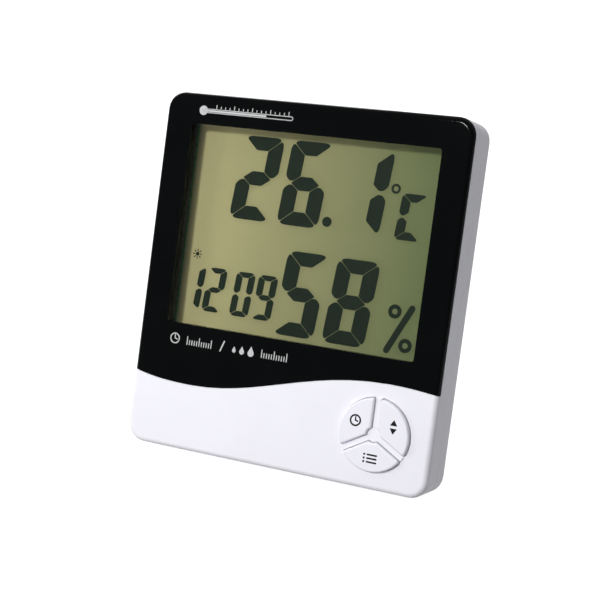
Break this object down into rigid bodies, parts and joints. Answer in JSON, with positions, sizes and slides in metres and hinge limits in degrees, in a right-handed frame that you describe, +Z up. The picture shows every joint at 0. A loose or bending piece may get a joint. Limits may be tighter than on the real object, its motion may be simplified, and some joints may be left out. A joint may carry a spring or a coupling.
{
  "type": "digital clock",
  "caption": "Slim desk clock with thermometer and hygrometer: a large segment display in a dark bezel, a white case, round-set sector keys, a battery bay and a fold-out foot.",
  "frame": {"origin": "middle of the footprint, on the table that the clock stands on", "axes": "+Z up, -Y the way the display faces, +X to the right of someone who looks at the display; the case leans back 17.8 degrees about X"},
  "size_m": [0.098, 0.0504, 0.107],
  "materials": {
    "white_shell": "fine satin moulded plastic",
    "white_key": "satin moulded plastic",
    "black_bezel": "smooth semi-gloss",
    "clear_lens": "clear polished acrylic",
    "carbon_rubber": "matte",
    "silicone_rubber": "matte",
    "black_foam": "matte",
    "polariser_film": "satin film",
    "display_glass": "polished",
    "reflector_film": "pearly film",
    "board_laminate": "solder-masked laminate",
    "black_epoxy": "cast resin",
    "sensor_blue": "moulded",
    "bright_steel": "nickel plated",
    "capacitor_can": "bright can",
    "sounder_brass": "rolled sheet",
    "sounder_ceramic": "silvered ceramic",
    "battery_wrap": "foil label over a metal can",
    "red_wire": "insulated wire",
    "black_wire": "insulated wire"
  },
  "bodies": {
    "case": {"front_case": "white_shell", "back_cover": "white_shell", "front_bezel": "black_bezel", "window_lens": "clear_lens", "keypad_mat": "silicone_rubber", "zebra_strip": "silicone_rubber", "display_gasket": "black_foam", "front_polariser": "polariser_film", "front_glass": "display_glass", "rear_glass": "display_glass", "reflector": "reflector_film", "main_board": "board_laminate", "chip_blob": "black_epoxy", "chip_resistor_1": "black_epoxy", "chip_resistor_2": "black_epoxy", "chip_resistor_3": "black_epoxy", "thermistor": "black_epoxy", "unit_switch": "black_epoxy", "reset_switch": "black_epoxy", "humidity_sensor": "sensor_blue", "crystal": "bright_steel", "tall_capacitor": "capacitor_can", "negative_contact": "bright_steel", "positive_contact": "bright_steel", "battery_spring": "bright_steel", "case_screw_1": "bright_steel", "case_screw_2": "bright_steel", "case_screw_3": "bright_steel", "case_screw_4": "bright_steel", "board_screw_1": "bright_steel", "board_screw_2": "bright_steel", "board_screw_3": "bright_steel", "board_screw_4": "bright_steel", "board_screw_5": "bright_steel", "sounder_disc": "sounder_brass", "sounder_ceramic": "sounder_ceramic", "battery": "battery_wrap", "sounder_wire_red": "red_wire", "sounder_wire_black": "black_wire", "battery_wire_red": "red_wire", "battery_wire_black": "black_wire"},
    "key_left": {"key_left": "white_key", "contact_pill_left": "carbon_rubber"},
    "key_right": {"key_right": "white_key", "contact_pill_right": "carbon_rubber"},
    "key_bottom": {"key_bottom": "white_key", "contact_pill_bottom": "carbon_rubber"},
    "unit_button": {"unit_button": "white_key", "unit_plunger": "black_epoxy"},
    "reset_plunger": {"reset_plunger": "black_epoxy"},
    "battery_door": {"battery_door": "white_shell"},
    "stand_foot": {"stand_foot": "white_shell"}
  },
  "joints": [
    {"name": "key_left_press", "type": "slide", "parent": "case", "child": "key_left", "axis": [0, 0.9521, -0.3057], "range_m": [0, 0.0006], "stiffness_N_per_m": 2000, "springref_m": -0.0003, "deforming": ["keypad_mat"]},
    {"name": "key_right_press", "type": "slide", "parent": "case", "child": "key_right", "axis": [0, 0.9521, -0.3057], "range_m": [0, 0.0006], "stiffness_N_per_m": 2000, "springref_m": -0.0003, "deforming": ["keypad_mat"]},
    {"name": "key_bottom_press", "type": "slide", "parent": "case", "child": "key_bottom", "axis": [0, 0.9521, -0.3057], "range_m": [0, 0.0006], "stiffness_N_per_m": 2000, "springref_m": -0.0003, "deforming": ["keypad_mat"]},
    {"name": "unit_button_press", "type": "slide", "parent": "case", "child": "unit_button", "axis": [0, -0.9521, 0.3057], "range_m": [0, 0.0003], "stiffness_N_per_m": 2000, "springref_m": -0.0003},
    {"name": "reset_press", "type": "slide", "parent": "case", "child": "reset_plunger", "axis": [0, -0.9521, 0.3057], "range_m": [0, 0.00025], "stiffness_N_per_m": 2000, "springref_m": -0.0003},
    {"name": "battery_door_hinge", "type": "hinge", "parent": "case", "child": "battery_door", "pos_m": [-0.01515, -0.00882, 0.00653], "axis": [-1, 0, 0], "range_deg": [0, 80]},
    {"name": "foot_hinge", "type": "hinge", "parent": "case", "child": "stand_foot", "pos_m": [0, -0.00374, 0.02544], "axis": [1, 0, 0], "range_deg": [0, 113.3]}
  ]
}
